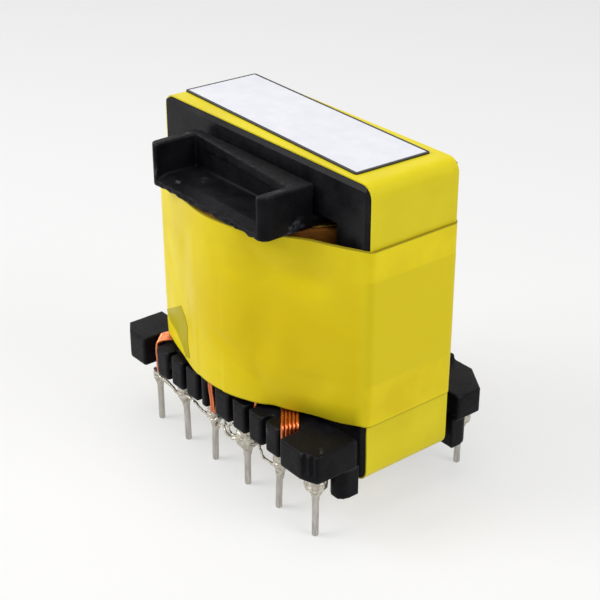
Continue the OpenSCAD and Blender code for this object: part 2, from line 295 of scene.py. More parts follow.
# %% [markdown]
# The winding's own cover is one thin turn of tape on copper wire, so it looks orange-brown.

# %% Tape on copper
def cover_finish():
    material, tree, shader = start_material("tape_on_copper", Coat_Weight=0.2, Coat_Roughness=0.15)
    colour = ramp(tree, noise(tree, 1.2), [(0.3, (0.20, 0.065, 0.01)), (0.7, (0.34, 0.13, 0.015))])
    tree.links.new(colour, shader.inputs["Base Color"])
    tree.links.new(spread(tree, noise(tree, 0.8), 0.35, 0.5), shader.inputs["Roughness"])
    bump(tree, shader, [(noise(tree, 0.5, detail=2, stretch=(0.5, 0.5, 3)), 0.04)])
    return material


TAPE_ON_COPPER = cover_finish()
print("made", TAPE_ON_COPPER.name)

# %% [markdown]
# The bobbin is a glass-filled phenolic moulding: nearly black, grainy and half glossy. Its
# sharp edges are painted paler: partly rubbed by handling, partly a painted highlight where the
# edges catch the light.

# %% Black phenolic
def wear_and_highlight_edges(tree, colour, pale_edge, start=0.52, end=0.60):
    """Paler where the surface turns sharply outwards, broken up by noise: wear and a painted edge
    highlight.
    """
    shape = tree.nodes.new("ShaderNodeNewGeometry")
    edge = spread(tree, shape.outputs["Pointiness"], 0, 1, start=start, end=end)
    breakup = spread(tree, noise(tree, 0.6, detail=5, rough=0.7), 0, 1, start=0.42, end=0.62)
    return mix_colour(tree, combine(tree, "MULTIPLY", edge, breakup), colour, pale_edge)


def phenolic_finish():
    material, tree, shader = start_material(
        "black_phenolic", IOR=1.5, Specular_IOR_Level=0.06)
    grain = noise(tree, 0.3, detail=6, rough=0.65)
    blotch = noise(tree, 2.2, detail=4)
    colour = ramp(tree, blotch, [(0.35, (0.004, 0.004, 0.005)), (0.7, (0.010, 0.010, 0.012))])
    # Paler sharp edges: handling wear, and a painted highlight along the edges
    colour = wear_and_highlight_edges(tree, colour, (0.06, 0.063, 0.07))
    tree.links.new(colour, shader.inputs["Base Color"])
    tree.links.new(spread(tree, grain, 0.24, 0.5), shader.inputs["Roughness"])
    bump(tree, shader, [(blotch, 0.05), (grain, 0.02)])
    return material


BLACK_PHENOLIC = phenolic_finish()
print("made", BLACK_PHENOLIC.name)

# %% [markdown]
# Ferrite is a fired ceramic. Its ground faces are dark grey with a fine grain and a dull sheen.

# %% Ferrite
def ferrite_finish():
    material, tree, shader = start_material("ferrite", IOR=1.5, Specular_IOR_Level=0.09)
    grain = noise(tree, 0.09, detail=5, rough=0.7)
    scuff = noise(tree, 2.5, detail=7, rough=0.65)
    colour = ramp(tree, scuff, [(0.35, (0.006, 0.006, 0.007)), (0.65, (0.013, 0.013, 0.015))])
    pale = spread(tree, grain, 0, 1, start=0.60, end=0.66)
    scuffed = spread(tree, scuff, 0, 1, 0.45, 0.6)
    speckled = combine(tree, "MULTIPLY", pale, scuffed)
    colour = mix_colour(tree, speckled, colour, (0.06, 0.06, 0.065))
    tree.links.new(colour, shader.inputs["Base Color"])
    tree.links.new(spread(tree, scuff, 0.24, 0.42), shader.inputs["Roughness"])
    bump(tree, shader, [(grain, 0.008)])
    return material


FERRITE = ferrite_finish()
print("made", FERRITE.name)

# %% [markdown]
# The pins and the solder are tin, which is a warm silver. Pins are drawn, so they carry faint
# marks along their length. Solder froze as it flowed: it is lumpy, with specks of burnt flux.

# %% Tinned pins and solder
def tinned_finish():
    material, tree, shader = start_material("tinned_pin", Metallic=1.0)
    streak = noise(tree, 0.5, detail=4, stretch=(3, 3, 0.4))
    colour = ramp(tree, streak, [(0.3, (0.36, 0.34, 0.30)), (0.7, (0.56, 0.54, 0.50))])
    tree.links.new(colour, shader.inputs["Base Color"])
    tree.links.new(spread(tree, streak, 0.28, 0.42), shader.inputs["Roughness"])
    bump(tree, shader, [(streak, 0.02)])
    return material


def solder_finish():
    material, tree, shader = start_material("solder")
    lumps = noise(tree, 0.35, detail=4)
    speck = noise(tree, 0.28, detail=5, rough=0.7)
    mask = spread(tree, speck, 0.0, 1.0, start=0.62, end=0.68)
    tin = ramp(tree, lumps, [(0.3, (0.34, 0.31, 0.25)), (0.7, (0.66, 0.63, 0.55))])
    tree.links.new(mix_colour(tree, mask, tin, (0.10, 0.045, 0.02)), shader.inputs["Base Color"])
    tree.links.new(spread(tree, mask, 0.9, 0.1, 0, 1), shader.inputs["Metallic"])
    tree.links.new(spread(tree, lumps, 0.25, 0.45), shader.inputs["Roughness"])
    bump(tree, shader, [(lumps, 0.06), (speck, 0.02)])
    return material


TINNED = tinned_finish()
SOLDER = solder_finish()
print("made", TINNED.name, "and", SOLDER.name)

# %% [markdown]
# Enamelled wire is copper under clear varnish, so it has a metal's colour and a sharp gloss.

# %% Copper wire and windings
def enamel_finish():
    material, tree, shader = start_material(
        "enamelled_copper", Metallic=0.85, Coat_Weight=0.8, Coat_Roughness=0.08)
    tone = noise(tree, 0.8, detail=3)
    colour = ramp(tree, tone, [(0.3, (0.50, 0.09, 0.015)), (0.7, (0.74, 0.19, 0.035))])
    tree.links.new(colour, shader.inputs["Base Color"])
    tree.links.new(spread(tree, tone, 0.22, 0.34), shader.inputs["Roughness"])
    return material


def winding_finish():
    material, tree, shader = start_material("wound_copper", Metallic=0.6, Coat_Weight=0.5)
    rings = tree.nodes.new("ShaderNodeTexWave")
    rings.wave_type = "RINGS"
    rings.rings_direction = "Z"
    rings.inputs["Scale"].default_value = 1.0
    rings.inputs["Distortion"].default_value = 0.6
    tree.links.new(coordinates(tree), rings.inputs["Vector"])
    turns = rings.outputs["Fac"]
    colour = ramp(tree, turns, [(0.2, (0.16, 0.05, 0.015)), (0.8, (0.42, 0.15, 0.04))])
    tree.links.new(colour, shader.inputs["Base Color"])
    tree.links.new(spread(tree, noise(tree, 0.6), 0.3, 0.5), shader.inputs["Roughness"])
    bump(tree, shader, [(turns, 0.05)])
    return material


ENAMEL = enamel_finish()
WOUND_COPPER = winding_finish()
print("made", ENAMEL.name, "and", WOUND_COPPER.name)

# %% [markdown]
# Paper labels are matt and a little cloudy. This one is bare but for a printed frame line along
# its edge. The line is drawn by two coordinate tests, centred and turned with the label.

# %% Label paper
LABEL_PLACE = (-0.75, 0.3)
LABEL_TURN = math.radians(-2.2)
LABEL_SIZE = (25.6, 8.0, 0.15)
FRAME_LINE = 0.26


def inside(tree, value, centre, half):
    """1 where a value is within a half width of a centre, else 0."""
    node = tree.nodes.new("ShaderNodeMath")
    node.operation = "COMPARE"
    node.inputs[1].default_value = centre
    node.inputs[2].default_value = half
    tree.links.new(value, node.inputs[0])
    return node.outputs[0]


def label_finish():
    material, tree, shader = start_material("label_paper", IOR=1.45)
    turned = coordinates(tree, turn=-LABEL_TURN)
    centre = Vector(LABEL_PLACE)
    centre.rotate(Matrix.Rotation(-LABEL_TURN, 2))
    split = tree.nodes.new("ShaderNodeSeparateXYZ")
    tree.links.new(turned, split.inputs["Vector"])
    half_length, half_width = (size / 2 - FRAME_LINE for size in LABEL_SIZE[:2])
    along = inside(tree, split.outputs["X"], centre.x, half_length)
    across = inside(tree, split.outputs["Y"], centre.y, half_width)
    within_frame = combine(tree, "MULTIPLY", along, across)

    cloud = noise(tree, 1.5, detail=5)
    paper = ramp(tree, cloud, [(0.3, (0.68, 0.68, 0.735)), (0.7, (0.735, 0.735, 0.78))])
    ink = (0.012, 0.012, 0.014)
    tree.links.new(mix_colour(tree, within_frame, ink, paper), shader.inputs["Base Color"])
    tree.links.new(spread(tree, noise(tree, 0.3), 0.42, 0.55), shader.inputs["Roughness"])
    bump(tree, shader, [(noise(tree, 0.08, detail=3), 0.002)])
    return material


LABEL_PAPER = label_finish()
print("made", LABEL_PAPER.name)

# %% [markdown]
# ## Solids that keep their CAD shape
# The ferrite halves are ground to size and are right as they are. The winding stack is hidden,
# apart from its brown top, so its layers only need a finish: copper with turn lines, and tape.

# %% Finish the kept CAD nodes
def finish_node(node, material):
    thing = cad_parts[node]
    thing.data.materials.clear()
    thing.data.materials.append(material)


for node in ("core_lower", "core_upper"):
    finish_node(node, FERRITE)
for node in ("inner_primary_winding", "secondary_winding", "outer_primary_winding",
             "auxiliary_winding"):
    finish_node(node, WOUND_COPPER)
for node in ("insulation_1", "insulation_2", "insulation_3"):
    finish_node(node, BAND_YELLOW)
finish_node("winding_cover", TAPE_ON_COPPER)
print("finished the core halves and the winding stack")

# %% [markdown]
# ## Modelling helpers
# Primitives are added at their size and place in millimetres. Edges and faces are picked in code
# by where they are, and the operator then acts on what is picked.

# %% Primitives and picking
def add_box(size, centre):
    select_none()
    bpy.ops.mesh.primitive_cube_add(
        size=1, location=Vector(centre) * MM, scale=Vector(size) * MM)
    box = bpy.context.view_layer.objects.active
    settle(box)
    return box


def add_cylinder(radius, low, high, place=(0, 0), vertices=64):
    select_none()
    bpy.ops.mesh.primitive_cylinder_add(
        radius=radius * MM, depth=(high - low) * MM, vertices=vertices,
        location=Vector((*place, (low + high) / 2)) * MM)
    cylinder = bpy.context.view_layer.objects.active
    settle(cylinder)
    return cylinder


def pick_edges(piece, test):
    """Opens the piece with the edges picked whose ends pass the test, in millimetres."""
    edit(piece, "EDGE", "DESELECT")
    leave_edit()
    corners = piece.data.vertices
    for edge in piece.data.edges:
        edge.select = test(*(corners[i].co / MM for i in edge.vertices))
    bpy.ops.object.mode_set(mode="EDIT")


def pick_faces(piece, test):
    """Opens the piece with the faces picked whose centre and normal pass the test."""
    edit(piece, "FACE", "DESELECT")
    leave_edit()
    for face in piece.data.polygons:
        face.select = test(face.center / MM, face.normal)
    bpy.ops.object.mode_set(mode="EDIT")


def cut_rows(piece, axis, start, stop, step):
    """Bisects a piece at even steps along one axis, so that it can bend there."""
    edit(piece)
    normal = [0, 0, 0]
    normal[axis] = 1
    count = int(round((stop - start) / step))
    for k in range(1, count):
        point = [0, 0, 0]
        point[axis] = (start + k * step) * MM
        bpy.ops.mesh.select_all(action="SELECT")
        bpy.ops.mesh.bisect(plane_co=point, plane_no=normal)
    leave_edit()


def ease(value, low, high):
    """0 below low, 1 above high, smooth between."""
    t = min(max((value - low) / (high - low), 0), 1)
    return t * t * (3 - 2 * t)


def near(value, centre, width):
    """A soft hump, 1 at the centre and almost 0 a width away."""
    return math.exp(-((value - centre) / (0.5 * width)) ** 2)


def thicken(piece, thickness):
    """Gives a sheet its thickness inwards."""
    solid = piece.modifiers.new("thickness", "SOLIDIFY")
    solid.thickness = thickness * MM
    solid.offset = -1
    apply_modifiers(piece)


# %% [markdown]
# ## The wide wrap
# Tape pulled round a winding and two legs takes the convex hull of what it goes round. So the
# legs' block, the winding and the bulge of the left leads are drawn as plain solids, and Blender
# draws the hull round them. The ends are opened, the wall is cut into rows and gently waved, as
# tape is that bridges gaps, and it gets its thickness inwards.

# %% Wide wrap
WRAP_LOW, WRAP_HIGH = 6.5, 23.3
WRAP_OUT_X, WRAP_OUT_Y = 14.9, 5.1
WRAP_RADIUS = 11.05
BULGE_RADIUS, BULGE_PLACE = 3.85, (-8.6, -5)
LEG_CORNER = 0.7
WRAP_THICKNESS = 0.2


def hull_wall(name, solids):
    """The upright wall of the hull round some solids, with both ends open."""
    wall = join(name, solids)
    edit(wall)
    bpy.ops.mesh.convex_hull()
    leave_edit()
    pick_faces(wall, lambda c, n: abs(n.z) > 0.5)
    bpy.ops.mesh.delete(type="FACE")
    leave_edit()
    pick_edges(wall, lambda a, b: abs(a.z - b.z) > 0.01 and (a.xy - b.xy).length > 0.001)
    bpy.ops.mesh.dissolve_edges(use_verts=False)
    leave_edit()
    return wall


legs = add_box((2 * WRAP_OUT_X, 2 * WRAP_OUT_Y, WRAP_HIGH - WRAP_LOW),
               (0, 0, (WRAP_LOW + WRAP_HIGH) / 2))
pick_edges(legs, lambda a, b: abs(a.z - b.z) > 1)
bpy.ops.mesh.bevel(offset=LEG_CORNER * MM, segments=6)
leave_edit()
winding = add_cylinder(WRAP_RADIUS, WRAP_LOW, WRAP_HIGH, vertices=160)
bulge = add_cylinder(BULGE_RADIUS, WRAP_LOW, WRAP_HIGH, BULGE_PLACE, vertices=64)
wrap = hull_wall("wide_wrap", [legs, winding, bulge])
cut_rows(wrap, 0, -14.4, 14.4, 0.4)
cut_rows(wrap, 1, -10.8, 10.8, 0.4)
cut_rows(wrap, 2, WRAP_LOW, WRAP_HIGH, 0.28)
print("wall has", len(wrap.data.polygons), "faces")

# %% [markdown]
# The wall is now moved in and out along its own normals, by tenths of a millimetre. Each line of
# the loop is one thing that happens to such a tape.

# %% Waves of the wrap
def wave_wrap(piece):
    normals = [n.vector.copy() for n in piece.data.vertex_normals]
    for vertex, normal in zip(piece.data.vertices, normals):
        p = vertex.co / MM
        flat = Vector((normal.x, normal.y, 0)).normalized()
        front = ease(-p.y, 5.3, 6.5)
        free = ease(abs(p.y), 5.2, 6.2) * ease(abs(p.x), 1.5, 5)
        side = ease(abs(p.x), 14.5, 14.8)
        # The inner turns stand out a little between their two edges
        inner = ease(p.z, INNER_LOW - 0.2, INNER_LOW + 0.2)
        inner *= ease(-p.z, -INNER_HIGH - 0.2, -INNER_HIGH + 0.2)
        # The front sinks in at their top edge, and the leads push it out at the lower left
        dip = front * near(p.z, 20.1 - 0.03 * p.x, 2.4)
        dip *= ease(p.x, 0, 3) * ease(-p.x, -12.5, -10)
        reach = math.hypot((p.x + 3) / 9.2, (p.z - 5.5) / 6.8)
        pad = front * ease(-reach, -1.0, -0.75)
        crease = front * near(reach, 1.06, 0.16) * ease(p.x, -1, 4)
        swell = waves.noise(Vector((p.x * 0.2, p.y * 0.2, p.z * 0.12)))
        ripple = waves.noise(Vector((p.x * 0.45, p.y * 0.45, p.z * 0.25 + 7)))
        depth = free * (0.34 * swell + 0.16 * ripple) + side * (0.04 * swell + 0.02 * inner - 0.03)
        depth += 0.04 * inner * front - 0.36 * dip + 0.08 * pad - 0.26 * crease
        # On the winding the tape is backed up, beside it there is room to sink in
        deepest = -0.07 - 0.45 * ease(abs(p.x), 4.5, 8)
        vertex.co += flat * min(max(depth, deepest), 0.0 if p.y < -10.9 else 0.12) * MM


wave_wrap(wrap)
thicken(wrap, WRAP_THICKNESS)
place(wrap, ["wrap_tape"], "tape", WRAP_YELLOW)

# %% [markdown]
# At the lower left the end of the tape is folded over itself: a short strip of double film. It
# is a flat grid that is laid on the wrap row by row, a hair above it.

# %% Folded end of the wrap
# Where each row of the fold begins and ends, as x and z on the front
FOLD_EDGES = [
    ((-10.3, 9.1), (-6.2, 11.5)), ((-9.2, 8.4), (-5.2, 10.9)), ((-7.6, 8.2), (-4.6, 10.0)),
    ((-6.3, 7.7), (-4.45, 8.9)), ((-5.4, 7.1), (-4.0, 7.9)), ((-4.9, 6.8), (-3.85, 7.2)),
]

FOLD_LIFT, FOLD_THICKNESS = 0.05, 0.06


def on_wrap(surface, x, z, lift):
    """The point of the wrap's front at x and z, lifted off it by a hair."""
    hit, normal, _, _ = surface.ray_cast(Vector((x, -20, z)) * MM, Vector((0, 1, 0)))
    return hit + normal * lift * MM


def lay_fold(rows, columns):
    surface = BVHTree.FromObject(wrap, bpy.context.evaluated_depsgraph_get())
    select_none()
    bpy.ops.mesh.primitive_grid_add(x_subdivisions=columns, y_subdivisions=rows, size=2 * MM)
    fold = bpy.context.view_layer.objects.active
    for vertex in fold.data.vertices:
        across = vertex.co.x / MM / 2 + 0.5
        along = (0.5 - vertex.co.y / MM / 2) * (len(FOLD_EDGES) - 1)
        k = min(int(along), len(FOLD_EDGES) - 2)
        first, second = FOLD_EDGES[k], FOLD_EDGES[k + 1]
        left = Vector(first[0]).lerp(Vector(second[0]), along - k)
        right = Vector(first[1]).lerp(Vector(second[1]), along - k)
        x, z = left.lerp(right, across)
        vertex.co = on_wrap(surface, x, max(z, WRAP_LOW + 0.05), FOLD_LIFT)
    edit(fold)
    bpy.ops.mesh.normals_make_consistent(inside=False)
    leave_edit()
    if fold.data.polygons[0].normal.y > 0:
        edit(fold)
        bpy.ops.mesh.flip_normals()
        leave_edit()
    thicken(fold, FOLD_THICKNESS)
    return fold


fold = lay_fold(rows=30, columns=14)
fold.name = fold.data.name = "folded_tape"
place(fold, [], "tape", FOLD_YELLOW)

# %% [markdown]
# ## The band round the core
# One turn of narrower tape holds the two ferrite halves together. It is the core's block with
# its front and back left off, as thick as tape, and pulled round the core's round corners.

# %% Core band
CORE_MID = 14.8
BAND_THICKNESS, BAND_CORNER = 0.13, 1.25
BAND_SIZE = (29.3, 9.6, 28.3)
band = add_box(BAND_SIZE, (0, 0, CORE_MID))
pick_edges(band, lambda a, b: abs(a.y - b.y) > 1)
bpy.ops.mesh.bevel(offset=BAND_CORNER * MM, segments=8)
leave_edit()
pick_faces(band, lambda c, n: abs(n.y) > 0.5)
bpy.ops.mesh.delete(type="FACE")
leave_edit()
cut_rows(band, 0, -13.2, 13.2, 0.6)
cut_rows(band, 1, -4.8, 4.8, 0.6)
cut_rows(band, 2, 2.4, 27.6, 0.6)
thicken(band, BAND_THICKNESS)
place(band, ["core_tape"], "tape", BAND_YELLOW)

# %% [markdown]
# ## The label
# A paper label is thin, but its cut corners are never perfectly sharp.

# %% Label
CORE_TOP = 28.95
LABEL_CORNER = 0.25
label = add_box(LABEL_SIZE, (0, 0, 0))
pick_edges(label, lambda a, b: abs(a.z - b.z) > 0.1)
bpy.ops.mesh.bevel(offset=LABEL_CORNER * MM, segments=4)
leave_edit()
cut_rows(label, 0, -12.6, 12.6, 0.6)
cut_rows(label, 1, -3.6, 3.6, 0.6)
label.rotation_euler = (0, 0, LABEL_TURN)
label.location = Vector((*LABEL_PLACE, CORE_TOP + LABEL_SIZE[2] / 2)) * MM
settle(label)
place(label, ["label"], "label", LABEL_PAPER)

# %% [markdown]
# ## The bobbin
# A moulding has no sharp edge. The CAD solid has the right form, so a merged copy of it is
# rebuilt from small voxels, which fills and rounds every edge alike, and smoothed. The flat
# parts then give back most of their faces. The lip of the tray was broken off its gates and
# never dressed, so its front is torn.

# %% Bobbin
VOXEL = 0.13
KEPT_SHARE = 0.38
LIP_Y, LIP_HALF, LIP_TOP = -9.9, 7.4, 24.9
bobbin = node_copy("bobbin")
bobbin.name = bobbin.data.name = "moulded_bobbin"
remesh = bobbin.modifiers.new("rebuild", "REMESH")
remesh.mode = "VOXEL"
remesh.voxel_size = VOXEL * MM
soften = bobbin.modifiers.new("soften", "SMOOTH")
soften.factor = 0.5
soften.iterations = 3
thin = bobbin.modifiers.new("thin", "DECIMATE")
thin.ratio = KEPT_SHARE
apply_modifiers(bobbin)
normals = [n.vector.copy() for n in bobbin.data.vertex_normals]
for vertex, normal in zip(bobbin.data.vertices, normals):
    p = vertex.co / MM
    rough = 0.012 * waves.noise(p * 3)
    if p.y < LIP_Y and abs(p.x) < LIP_HALF and 20 < p.z < LIP_TOP:
        torn = ease(-p.y, -LIP_Y, 11) * ease(LIP_HALF - abs(p.x), 0, 0.6)
        chip = waves.noise(Vector((p.x * 0.9, 0, p.z * 0.8)))
        chip += 0.6 * waves.noise(Vector((p.x * 2.6, 3, p.z * 2.2)))
        vertex.co.y += 0.30 * max(0, 0.15 + chip) * torn * MM
        vertex.co.z += 0.16 * waves.noise(Vector((p.x * 1.5, 9, 0))) * torn * MM
    vertex.co += normal * rough * MM
place(bobbin, ["bobbin"], "bobbin", BLACK_PHENOLIC, angle=60)

# %% [markdown]
# ## Wires
# A wire is a smooth curve with a round section. The routes repeat the CAD model's: down from the
# winding, across the lower flange and down through a slot. Below the bar it is tinned.

# %% Routes of the leads
WINDING_LOW, BAR_LOW = 6.7, 3.0
LEAD_R, LEAD_Z, LEAD_END = 10.3, 6.24, 2.9
WIRE_D, TINNED_D = 0.3, 0.28


def bundle_leads(count, angle, slot, angle_step, slot_step):
    """Each lead: its start angle, its place at the top of the slot and at the bottom."""
    leads = []
    for k in range(count):
        place_in_slot = Vector(slot) + k * Vector(slot_step)
        leads.append((angle + k * angle_step, place_in_slot, place_in_slot))
    return leads


LEFT = bundle_leads(5, 210, (-10.95, -9.1), 2.25, (0.24, -0.26))
RIGHT = bundle_leads(5, 317.9, (10.17, -8.92), -1.88, (-0.12, -0.33))
BACK_RIGHT = bundle_leads(3, 304, (7.35, -9.6), -3, (0, -0.4))
MIDDLE = [
    (263.6, Vector((-1.05, -10.35)), Vector((-0.75, -10.38))),
    (265.7, Vector((-0.7, -10.35)), Vector((-0.4, -10.38))),
    (283.8, Vector((2.45, -9.75)), Vector((2.45, -9.75))),
    (298, Vector((4.9, -9.6)), Vector((4.9, -9.6))),
]


def lead_route(lead):
    """From under the winding over the flange and down the slot. A short way has fewer stops."""
    angle, slot, foot = lead
    start = Vector((math.cos(math.radians(angle)), math.sin(math.radians(angle)))) * LEAD_R
    run = (slot - start).length
    way = (slot - start) / run
    stops = [(start, WINDING_LOW)]
    if run < 1:
        stops += [(start, WINDING_LOW - 0.15), ((start + slot) / 2, LEAD_Z), (slot, LEAD_Z - 0.6)]
    else:
        stops += [(start, WINDING_LOW - 0.12), (start + 0.3 * way, LEAD_Z + 0.02),
                  (start + 0.5 * run * way, LEAD_Z), (slot - 0.45 * way, LEAD_Z),
                  (slot - 0.12 * way, LEAD_Z - 0.14), (slot, LEAD_Z - 0.5)]
    stops += [(foot, BAR_LOW + 1), (foot, LEAD_END)]
    return [Vector((p.x, p.y, z)) for p, z in stops]


def wire(points, diameter=WIRE_D, smooth_steps=5):
    """A round wire through the points, capped at both ends."""
    curve = bpy.data.curves.new("wire", "CURVE")
    curve.dimensions = "3D"
    spline = curve.splines.new("BEZIER")
    spline.bezier_points.add(len(points) - 1)
    for knot, point in zip(spline.bezier_points, points):
        knot.co = point * MM
        knot.handle_left_type = knot.handle_right_type = "AUTO"
    curve.resolution_u = smooth_steps
    curve.bevel_depth = diameter / 2 * MM
    curve.bevel_resolution = 3
    curve.use_fill_caps = True
    thing = bpy.data.objects.new("wire", curve)
    bpy.context.collection.objects.link(thing)
    thing = as_mesh(thing)
    edit(thing)
    bpy.ops.mesh.remove_doubles(threshold=0.0005 * MM)
    bpy.ops.mesh.normals_make_consistent(inside=False)
    leave_edit()
    return thing


def mirrored(points):
    return [Vector((p.x, -p.y, p.z)) for p in points]


# %% Bundles of leads
for name, leads, back in (
        ("front_left_leads", LEFT, False), ("front_middle_leads", MIDDLE, False),
        ("front_right_leads", RIGHT, False), ("back_left_leads", LEFT, True),
        ("back_right_leads", BACK_RIGHT, True)):
    routes = [lead_route(lead) for lead in leads]
    if back:
        routes = [mirrored(route) for route in routes]
    bundle = join("wires_" + name, [wire(route) for route in routes])
    place(bundle, [name], "enamelled_wire", ENAMEL)

# %% [markdown]
# ## Pins and solder
# A pin is round wire with a blunt tip and a slightly thinner shank, fixed in the bar. Handling
# has bent the pins a little, and pin 1 stands askew as a whole.

# %% Pins
PIN_R, PIN_TIP, PIN_TOP = 0.32, -4.0, 5.4
PIN_PITCH, ROW_Y = 5.0, 8.75


def pin_place(n):
    x = (n - 3.5) * PIN_PITCH if n <= 6 else (9.5 - n) * PIN_PITCH
    return Vector((x, -ROW_Y if n <= 6 else ROW_Y))


# How far each tip has moved
LEAN = [(0.45, 0.05), (0.34, -0.1), (-0.08, -0.1), (0.18, -0.16), (-0.06, -0.2), (0.3, -0.3)]


def lean_pin(pin, n):
    """Moves a pin sideways, from nothing at its start height to all at its end height."""
    move = Vector(LEAN[n - 1]) if n <= 6 else -0.5 * Vector(LEAN[12 - n])
    start, end = (-4.2, -2.6) if n == 1 else (-3.0, 4.0)
    for vertex in pin.data.vertices:
        vertex.co.xy += move * ease(-vertex.co.z / MM, start, end) * MM


random.seed(7)
for n in range(1, 13):
    pin = add_cylinder(PIN_R, PIN_TIP, 2.95, vertices=32)
    pick_edges(pin, lambda a, b: max(a.z, b.z) < PIN_TIP + 0.01)
    bpy.ops.mesh.bevel(offset=0.13 * MM, segments=4)
    leave_edit()
    cut_rows(pin, 2, -3.8, 2.8, 0.3)
    seed = random.uniform(0, 100)
    for vertex in pin.data.vertices:
        p = vertex.co / MM
        out = Vector((p.x, p.y, 0))
        wear = waves.noise(Vector((p.x * 2, p.y * 2, p.z * 0.8 + seed)))
        vertex.co -= out * MM * 0.06 * (0.5 + 0.5 * wear)
    shank = add_cylinder(PIN_R * 0.92, 2.8, PIN_TOP, vertices=8)
    pin.location = shank.location = Vector((*pin_place(n), 0)) * MM
    settle(pin)
    settle(shank)
    pin = join(f"round_pin_{n}", [pin, shank])
    lean_pin(pin, n)
    place(pin, [f"pin_{n}"], "pins", TINNED)

# %% [markdown]
# Each wire end is wound on its pin and dipped, so the solder is a ridged barrel that tapers onto
# the pin. It is joined with the tinned wire ends, and small voxels let them flow together.

# %% Shapes of the solder
# For each front pin: widest radius, top, where it begins to narrow, where it ends on the pin
SOLDER_FORM = [
    (0.60, 1.7, 0.8, -0.2), (0.78, 2.6, 0.8, -0.3), (0.78, 2.6, 0.8, -0.5),
    (1.02, 2.6, 0.5, -0.9), (0.66, 2.6, 0.6, -0.8), (1.06, 2.6, 1.0, -0.6),
]
COATED_R = PIN_R + 0.03
FRONT_TAILS = {
    1: LEFT, 2: [], 3: MIDDLE[:2], 4: MIDDLE[2:], 5: RIGHT[:2], 6: RIGHT[2:],
}
BACK_TAILS = {1: LEFT, 5: BACK_RIGHT}

# Strands that run free under the bar: the pin they belong to, and their points
STRANDS = [
    (1, [(-12.1, -9.2, 1.2), (-10.9, -9.9, 2.2), (-9.3, -9.7, 1.9), (-7.9, -9.2, 0.9)]),
    (1, [(-12.0, -9.1, 0.8), (-10.6, -9.6, 1.7), (-9.0, -9.5, 1.5), (-7.7, -9.1, 0.6)]),
    (2, [(-7.2, -9.1, 0.9), (-6.3, -9.6, 1.6), (-5.2, -9.7, 1.9),
         (-4.4, -9.6, 1.6), (-3.2, -9.1, 0.7)]),
    (3, [(-2.3, -9.2, 0.7), (-1.7, -9.7, 0.9), (-1.2, -9.4, 1.5), (-1.6, -9.0, 1.2)]),
    (3, [(-2.1, -9.0, 0.6), (-1.2, -9.6, 0.6), (-0.4, -9.7, 1.2), (0.2, -9.4, 1.6)]),
    (4, [(2.0, -9.2, 0.6), (1.0, -9.7, 0.7), (0.2, -9.7, 1.3), (0.0, -9.4, 1.9)]),
    (4, [(1.8, -9.3, 0.9), (1.0, -9.6, 1.1), (0.6, -9.5, 1.6), (1.2, -9.3, 2.0)]),
    (5, [(7.0, -9.2, 0.5), (6.1, -9.6, 1.0), (5.6, -9.6, 1.7), (5.2, -9.5, 2.4)]),
]
print(len(STRANDS), "loose strands")


# %% Solder on the pins
def solder_body(radius, top, narrow, low, steps=24):
    """Wound wire soaked in solder: a ridged barrel that tapers down onto the pin."""
    body = add_cylinder(radius, low, top, vertices=40)
    cut_rows(body, 2, low, top, (top - low) / steps)
    for vertex in body.data.vertices:
        z = vertex.co.z / MM
        t = min(max((z - low) / (narrow - low), 0), 1)
        ridge = 0.05 * math.sin(z * 16) * ease(z, narrow - 0.3, narrow + 0.2)
        wide = COATED_R + (radius - COATED_R) * t ** 2.2 + ridge
        wide *= 1 - 0.3 * ease(z, 1.5, BAR_LOW)
        out = vertex.co.xy
        if out.length > 0:
            vertex.co.xy = out.normalized() * wide * MM
    return body


def tail_route(slot, pin):
    """From the bottom of a slot to just inside the solder of the pin."""
    way = (pin - slot).normalized()
    stops = [(slot, LEAD_END), (slot, LEAD_END - 0.15), ((slot + pin) / 2, 2.25),
             (pin - 0.2 * way, 2.2)]
    return [Vector((p.x, p.y, z)) for p, z in stops]


def solder_joint(n):
    front = n if n <= 6 else 13 - n
    pin = pin_place(front)
    if n == 1:
        pin = pin + Vector(LEAN[0])
    body = solder_body(*SOLDER_FORM[front - 1])
    body.location = Vector((*pin, 0)) * MM
    settle(body)
    pieces = [body]
    pieces += [wire([Vector(p) for p in points], diameter=TINNED_D)
               for owner, points in STRANDS if owner == n]
    tails = (FRONT_TAILS if n <= 6 else BACK_TAILS).get(front, [])
    pieces += [wire(tail_route(foot, pin), diameter=TINNED_D) for _, _, foot in tails]
    joint = join(f"solder_joint_{n}", pieces)
    flow = joint.modifiers.new("flow", "REMESH")
    flow.mode = "VOXEL"
    flow.voxel_size = 0.05 * MM
    soften = joint.modifiers.new("soften", "SMOOTH")
    soften.factor = 0.5
    soften.iterations = 3
    apply_modifiers(joint)
    for vertex in joint.data.vertices:
        p = vertex.co / MM
        shift = waves.noise_vector(p * 1.5 + Vector((n * 3, 0, 0)))
        fine = waves.noise_vector(p * 5 + Vector((n * 5, 0, 0)))
        vertex.co += (0.10 * shift + 0.04 * fine) * ease(BAR_LOW - p.z, 0.1, 0.8) * MM
    if n > 6:
        edit(joint)
        bpy.ops.transform.mirror(
            orient_type="GLOBAL", constraint_axis=(False, True, False),
            center_override=(0, 0, 0))
        bpy.ops.mesh.normals_make_consistent(inside=False)
        leave_edit()
    place(joint, [f"solder_{n}"], "solder", SOLDER, angle=80)


waves.seed_set(7)
for n in range(1, 13):
    solder_joint(n)

# %% [markdown]
# ## Studio
# A pale floor just under the pin tips and three large soft lamps: the strongest from the left,
# the others from the right and from above. The world is white to the camera, to gloss and through
# glass, and lights the part only weakly. The floor keeps the part's shadow.

# %% Floor
FLOOR_Z = -4.0
FLOOR_COLOUR = (0.80, 0.80, 0.80, 1)
GLOW_SHARE = 0.55


def background_rays(tree):
    """1 for the rays that show the background: to the camera, by gloss and through glass."""
    rays = tree.nodes.new("ShaderNodeLightPath").outputs
    seen = combine(tree, "MAXIMUM", rays["Is Camera Ray"], rays["Is Glossy Ray"])
    return combine(tree, "MAXIMUM", seen, rays["Is Transmission Ray"])


